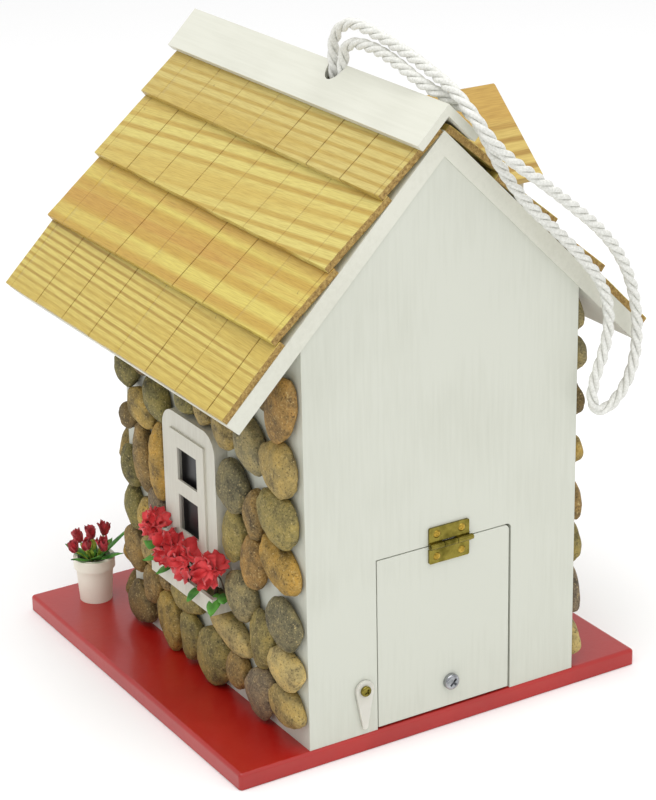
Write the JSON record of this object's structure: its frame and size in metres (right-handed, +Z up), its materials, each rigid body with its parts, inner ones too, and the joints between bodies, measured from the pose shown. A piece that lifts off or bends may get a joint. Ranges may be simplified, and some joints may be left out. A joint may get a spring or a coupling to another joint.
{
  "type": "birdhouse",
  "caption": "Cottage birdhouse with pebble walls, lapped pine roof, dormer, window with flower box, clean-out door on a hinge, turn latch and a rope loop to hang it by.",
  "frame": {"origin": "middle of the footprint on the ground, under the roof's middle", "axes": "+Z up, the front with the entrance hole faces -Y, the clean-out door faces +Y, the window is on the +X wall"},
  "size_m": [0.2002, 0.2129, 0.2855],
  "materials": {
    "white_paint": "satin white paint on wood",
    "red_enamel": "gloss red enamel on wood",
    "pine": "clear-coated pine",
    "pebble": "natural river pebble",
    "black_panel": "matt black paint",
    "brass": "polished and slightly tarnished",
    "chrome": "plated screw",
    "steel": "zinc plated screw",
    "clear_plastic": "translucent white plastic",
    "rope": "three-strand twisted white polypropylene",
    "pot_paint": "off-white",
    "soil": "dark moss and soil",
    "petal": "red cloth petals",
    "leaf": "green artificial leaves"
  },
  "bodies": {
    "house": {"base_plate": "red_enamel", "base_screws": "steel", "door_stop_far_side": "white_paint", "door_stop_window_side": "white_paint", "dormer_cheek_front": "white_paint", "dormer_cheek_rear": "white_paint", "dormer_front_board": "white_paint", "dormer_roof_front": "pine", "dormer_roof_rear": "pine", "flower_box": "white_paint", "flower_box_blooms": "petal", "flower_box_leaves": "leaf", "flower_box_moss": "soil", "flower_pot": "pot_paint", "flower_pot_blooms": "petal", "flower_pot_leaves": "leaf", "flower_pot_soil": "soil", "front_door": "red_enamel", "front_wall": "white_paint", "hanging_rope": "rope", "hinge_leaf_wall": "brass", "hinge_pin": "brass", "hinge_screws_wall": "brass", "latch_screw": "brass", "pebbles_front_wall": "pebble", "pebbles_side_wall": "pebble", "pebbles_window_wall": "pebble", "rear_wall": "white_paint", "ridge_cap_far_side": "white_paint", "ridge_cap_window_side": "white_paint", "roof_board_far_side": "white_paint", "roof_board_window_side": "white_paint", "rope_knot": "rope", "shingle_eave_far_side": "pine", "shingle_eave_window_side": "pine", "shingle_lower_far_side": "pine", "shingle_lower_window_side": "pine", "shingle_ridge_far_side": "pine", "shingle_ridge_window_side": "pine", "shingle_upper_far_side": "pine", "shingle_upper_window_side": "pine", "side_wall": "white_paint", "window_frame": "white_paint", "window_panes": "black_panel", "window_plate": "white_paint", "window_wall": "white_paint"},
    "cleanout_door": {"cleanout_door": "white_paint", "pull_screw": "chrome", "hinge_leaf_door": "brass", "hinge_screws_door": "brass"},
    "latch": {"turn_latch": "clear_plastic"}
  },
  "joints": [
    {"name": "door_hinge", "type": "hinge", "parent": "house", "child": "cleanout_door", "pos_m": [-0.0018, 0.09745, 0.08295], "axis": [1, 0, 0], "range_deg": [0, 174]},
    {"name": "latch_turn", "type": "hinge", "parent": "house", "child": "latch", "pos_m": [0.0394, 0.0969, 0.0276], "axis": [0, 1, 0], "continuous": true}
  ]
}
